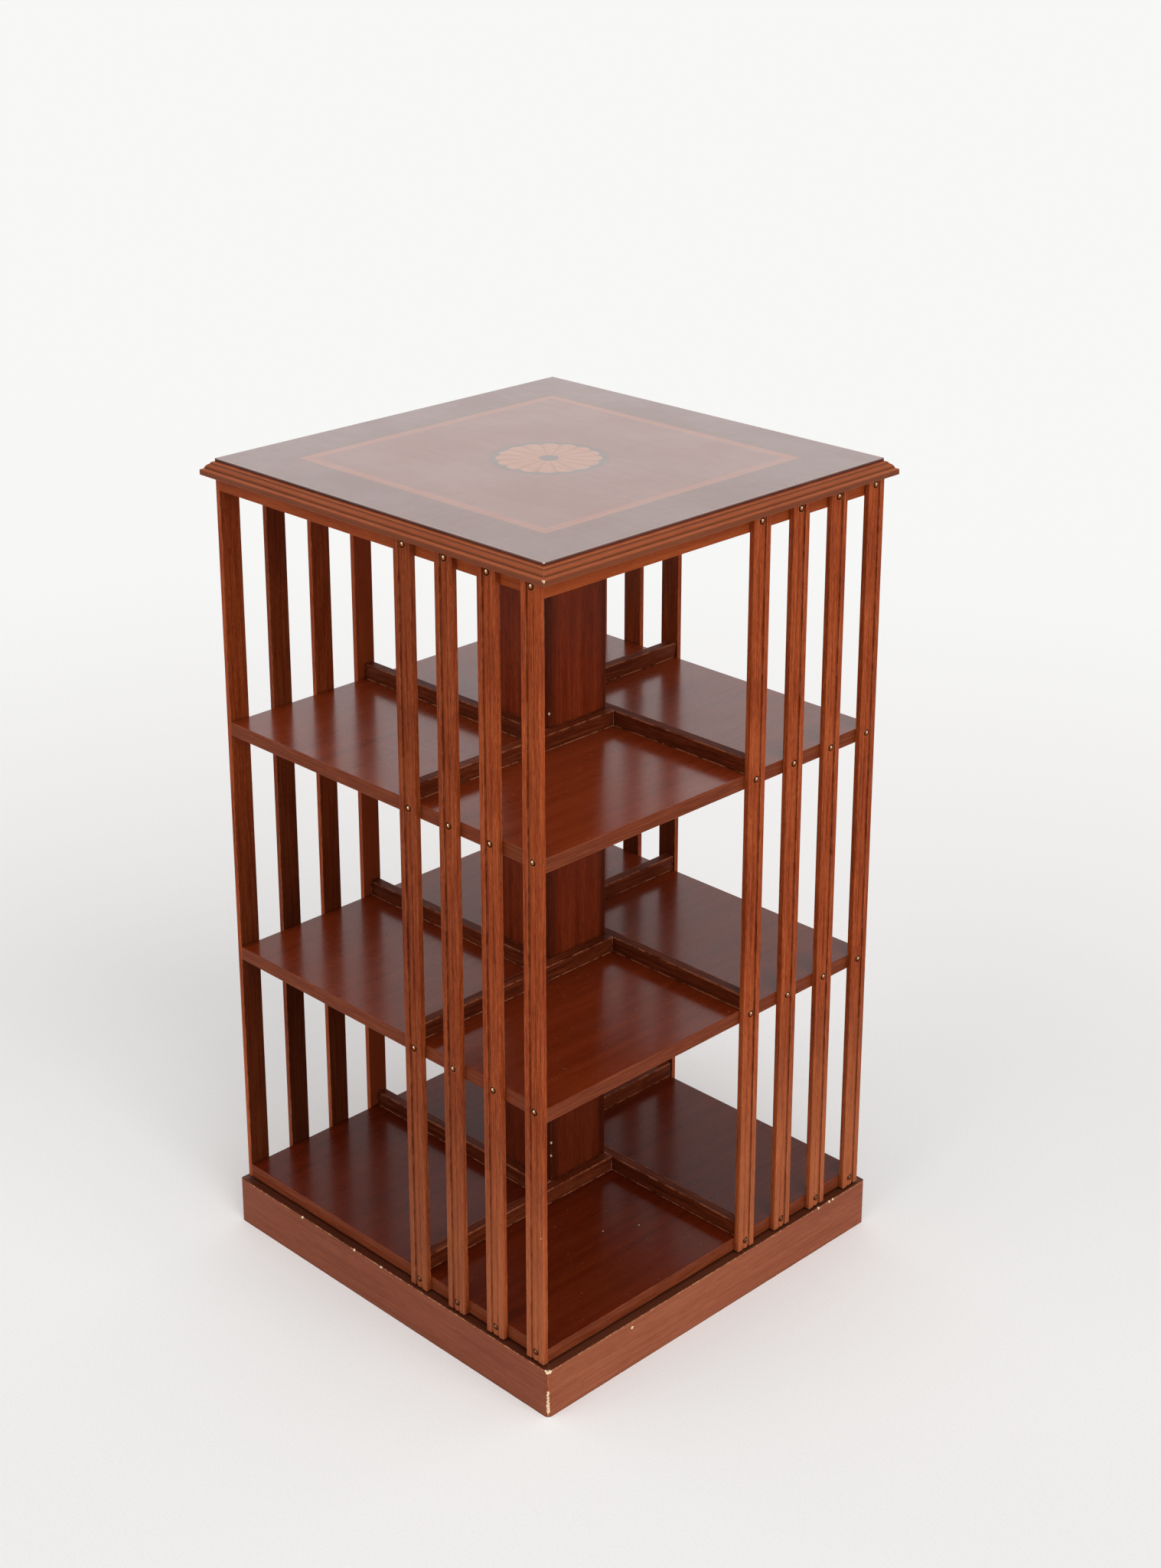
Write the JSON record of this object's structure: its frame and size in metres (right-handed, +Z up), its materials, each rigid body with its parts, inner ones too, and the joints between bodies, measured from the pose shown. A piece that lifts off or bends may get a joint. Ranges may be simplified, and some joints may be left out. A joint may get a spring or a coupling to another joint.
{
  "type": "revolving bookcase",
  "caption": "Square floor-standing bookcase with tiers of pinwheel compartments, slatted corners and an inlaid top, turning on a low plinth.",
  "frame": {"origin": "on the floor under the middle of the plinth, on the turning axis", "axes": "+Z up along the turning axis; -Y to the front side of the case at rest, +X to its right side"},
  "size_m": [0.4708, 0.4708, 0.835],
  "materials": {
    "slat_mahogany": "polished red-brown, darker in the quirks",
    "stop_mahogany": "polished red-brown",
    "column_mahogany": "polished straight-grained red-brown",
    "plinth_mahogany": "polished red-brown with worn pale arrises",
    "shelf_mahogany": "high gloss red-brown",
    "apron_mahogany": "polished red-brown",
    "mould_mahogany": "polished red-brown",
    "border_mahogany": "polished crossbanded veneer",
    "field_mahogany": "polished figured veneer",
    "band_satinwood": "polished pale veneer",
    "petal_satinwood": "polished pale veneer, scorched shading",
    "patera_green": "dark stained veneer",
    "patera_dark": "dark stained veneer",
    "block_beech": "bare sawn hardwood",
    "deck_wood": "bare plywood",
    "pin_brass": "polished with dull rims",
    "bush_brass": "turned",
    "cage_brass": "pressed",
    "screw_steel": "zinc plated",
    "spindle_steel": "bright drawn",
    "race_steel": "ground",
    "ball_steel": "polished"
  },
  "bodies": {
    "base": {"plinth_front": "plinth_mahogany", "plinth_right": "plinth_mahogany", "plinth_back": "plinth_mahogany", "plinth_left": "plinth_mahogany", "plinth_deck": "deck_wood", "corner_blocks": "block_beech", "spindle": "spindle_steel", "flange_screws": "screw_steel", "race_lower": "race_steel"},
    "case": {"slat_front_1": "slat_mahogany", "slat_front_2": "slat_mahogany", "slat_front_3": "slat_mahogany", "slat_front_4": "slat_mahogany", "slat_right_1": "slat_mahogany", "slat_right_2": "slat_mahogany", "slat_right_3": "slat_mahogany", "slat_right_4": "slat_mahogany", "slat_back_1": "slat_mahogany", "slat_back_2": "slat_mahogany", "slat_back_3": "slat_mahogany", "slat_back_4": "slat_mahogany", "slat_left_1": "slat_mahogany", "slat_left_2": "slat_mahogany", "slat_left_3": "slat_mahogany", "slat_left_4": "slat_mahogany", "slat_pins": "pin_brass", "stop_bottom_front": "stop_mahogany", "stop_bottom_right": "stop_mahogany", "stop_bottom_back": "stop_mahogany", "stop_bottom_left": "stop_mahogany", "stop_lower_front": "stop_mahogany", "stop_lower_right": "stop_mahogany", "stop_lower_back": "stop_mahogany", "stop_lower_left": "stop_mahogany", "stop_upper_front": "stop_mahogany", "stop_upper_right": "stop_mahogany", "stop_upper_back": "stop_mahogany", "stop_upper_left": "stop_mahogany", "column_front": "column_mahogany", "column_right": "column_mahogany", "column_back": "column_mahogany", "column_left": "column_mahogany", "bottom_shelf": "shelf_mahogany", "lower_shelf": "shelf_mahogany", "upper_shelf": "shelf_mahogany", "under_top": "apron_mahogany", "top_board": "apron_mahogany", "top_mouldings": "mould_mahogany", "top_screws": "screw_steel", "border_veneer": "border_mahogany", "band_inlay": "band_satinwood", "field_veneer": "field_mahogany", "patera_ground": "patera_green", "patera_petals": "petal_satinwood", "patera_eye": "patera_dark", "guide_blocks": "block_beech", "guide_bushes": "bush_brass", "race_upper": "race_steel"},
    "bearing": {"race_balls": "ball_steel", "ball_cage": "cage_brass"}
  },
  "joints": [
    {"name": "case_turn", "type": "hinge", "parent": "base", "child": "case", "pos_m": [0, 0, 0.05075], "axis": [0, 0, 1], "continuous": true},
    {"name": "cage_turn", "type": "hinge", "parent": "base", "child": "bearing", "pos_m": [0, 0, 0.05075], "axis": [0, 0, 1], "continuous": true}
  ],
  "couplings": [
    {"joint": "cage_turn", "follows": "case_turn", "ratio": 0.5}
  ]
}
